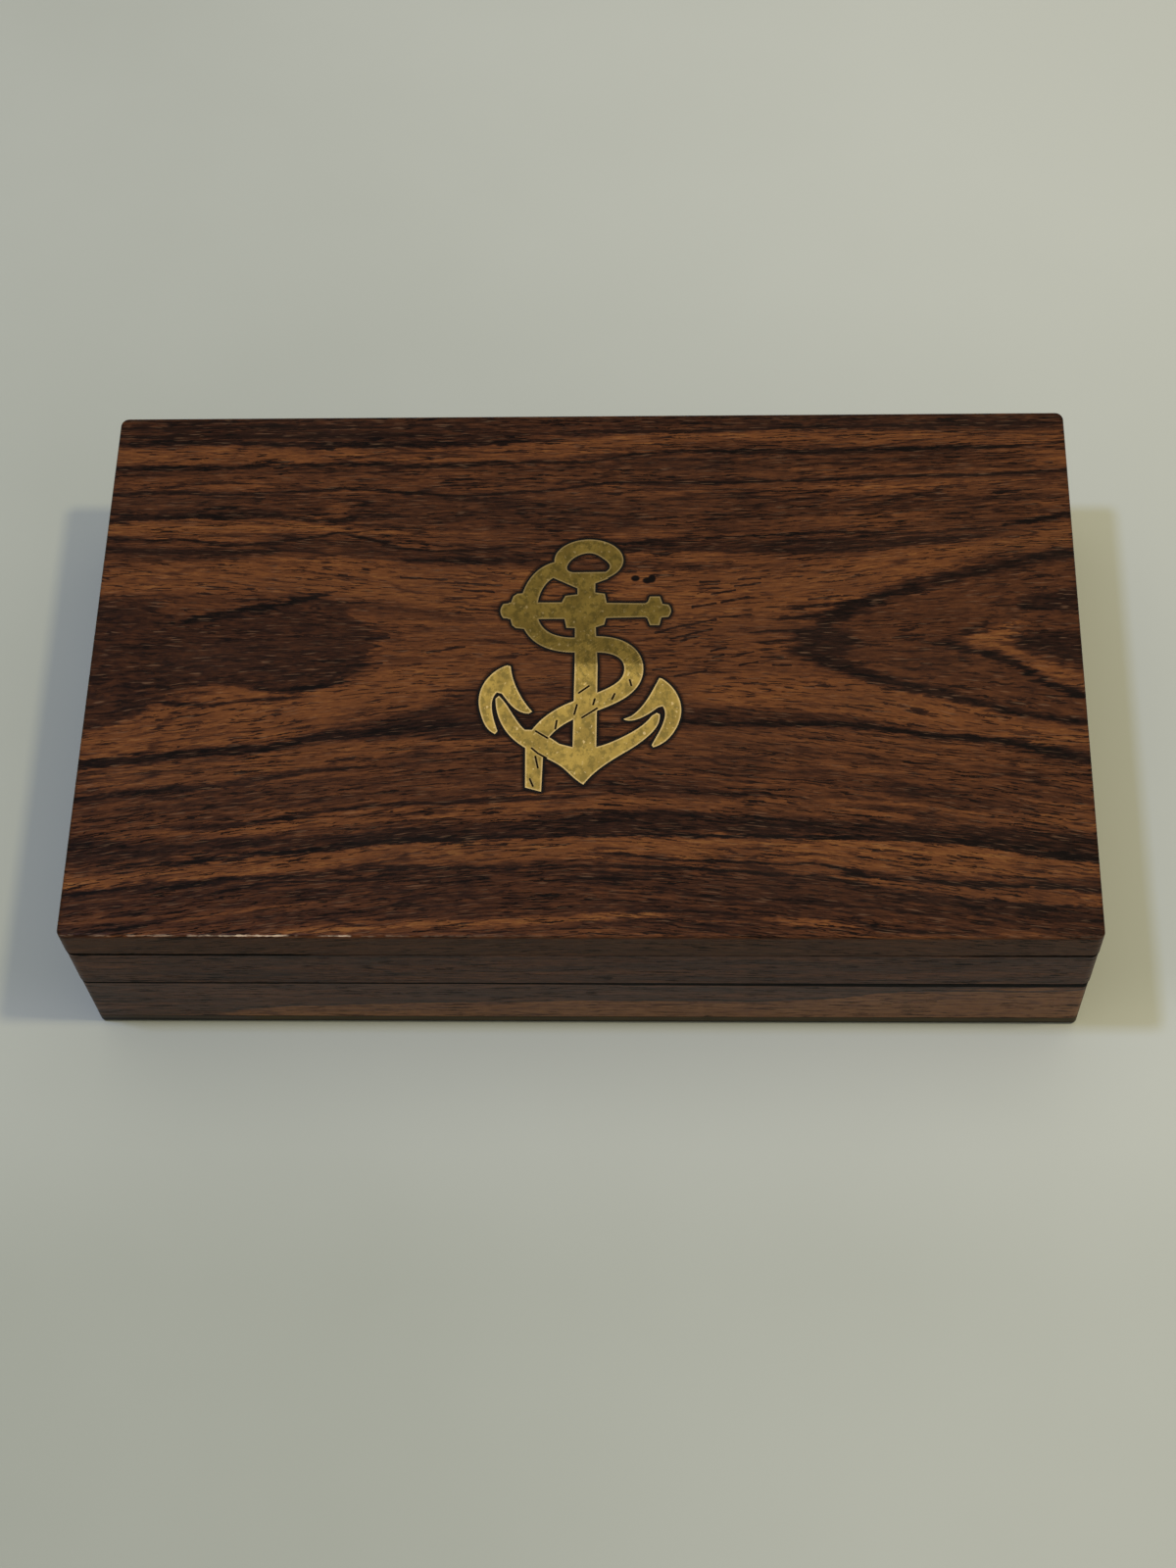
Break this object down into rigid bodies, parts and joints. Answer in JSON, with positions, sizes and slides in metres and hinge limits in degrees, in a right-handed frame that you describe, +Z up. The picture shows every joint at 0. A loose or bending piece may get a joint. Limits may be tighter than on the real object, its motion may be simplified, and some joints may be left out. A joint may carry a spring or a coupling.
{
  "type": "glove box",
  "caption": "Shallow rectangular hardwood box with a thick hinged lid, a brass anchor inlaid in the lid and a soft lining, for holding a pair of gloves.",
  "frame": {"origin": "centre of the underside, where the baize meets the surface that the box stands on", "axes": "+X along the front towards its right end, +Y from the front to the hinges, +Z up"},
  "size_m": [0.254, 0.155, 0.0532],
  "materials": {
    "rosewood": "worn satin polish, dark figured rosewood",
    "plywood": "dark stained thin panel",
    "steel": "dull wire brads",
    "baize": "green wool baize",
    "velvet": "dark green velvet",
    "hinge_brass": "tarnished drawn brass",
    "inlay_brass": "aged brass sheet, rubbed flush with the wood",
    "filler": "black shellac filler"
  },
  "bodies": {
    "base": {"base_front_wall": "rosewood", "base_back_wall": "rosewood", "base_left_wall": "rosewood", "base_right_wall": "rosewood", "bottom_panel": "plywood", "panel_brads": "steel", "base_baize": "baize", "base_floor_lining": "velvet", "base_lining_front": "velvet", "base_lining_back": "velvet", "base_lining_left": "velvet", "base_lining_right": "velvet", "hinge_left_lower_leaf": "hinge_brass", "hinge_right_lower_leaf": "hinge_brass", "hinge_left_pin": "hinge_brass", "hinge_right_pin": "hinge_brass", "lower_hinge_screws": "hinge_brass"},
    "lid": {"lid_board": "rosewood", "lid_front_rail": "rosewood", "lid_back_rail": "rosewood", "lid_left_rail": "rosewood", "lid_right_rail": "rosewood", "anchor_inlay": "inlay_brass", "left_fluke_inlay": "inlay_brass", "right_fluke_inlay": "inlay_brass", "inlay_filler": "filler", "lid_top_lining": "velvet", "lid_lining_front": "velvet", "lid_lining_back": "velvet", "lid_lining_left": "velvet", "lid_lining_right": "velvet", "hinge_left_upper_leaf": "hinge_brass", "hinge_right_upper_leaf": "hinge_brass", "upper_hinge_screws": "hinge_brass"}
  },
  "joints": [
    {"name": "lid_hinge", "type": "hinge", "parent": "base", "child": "lid", "pos_m": [0, 0.0755, 0.0255], "axis": [-1, 0, 0], "range_deg": [0, 98]}
  ]
}
